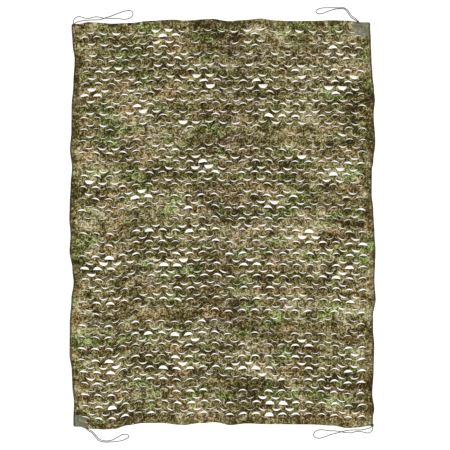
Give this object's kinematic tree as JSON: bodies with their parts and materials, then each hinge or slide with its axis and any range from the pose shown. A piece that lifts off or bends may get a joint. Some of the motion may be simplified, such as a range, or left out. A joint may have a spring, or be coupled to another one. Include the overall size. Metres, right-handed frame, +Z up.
{
  "type": "leaf-cut camouflage net",
  "caption": "Flat rectangular camouflage net of leaf-cut printed cloth with a hem all round and a knotted cord loop at each corner.",
  "frame": {"origin": "on the ground under the middle of the laid net's outline, cords and knots left out", "axes": "+Y towards the net's top edge, +X to its right, +Z up from the ground"},
  "size_m": [1.5162, 2.1543, 0.015],
  "materials": {
    "cut_cloth": "matte printed woven cloth",
    "tie_cord": "matte braided cord"
  },
  "bodies": {
    "root": {"net": "cut_cloth", "cord_top_left": "tie_cord", "cord_top_right": "tie_cord", "cord_bottom_left": "tie_cord", "cord_bottom_right": "tie_cord", "knot_top_left": "tie_cord", "knot_top_right": "tie_cord", "knot_bottom_left": "tie_cord", "knot_bottom_right": "tie_cord"}
  },
  "joints": []
}
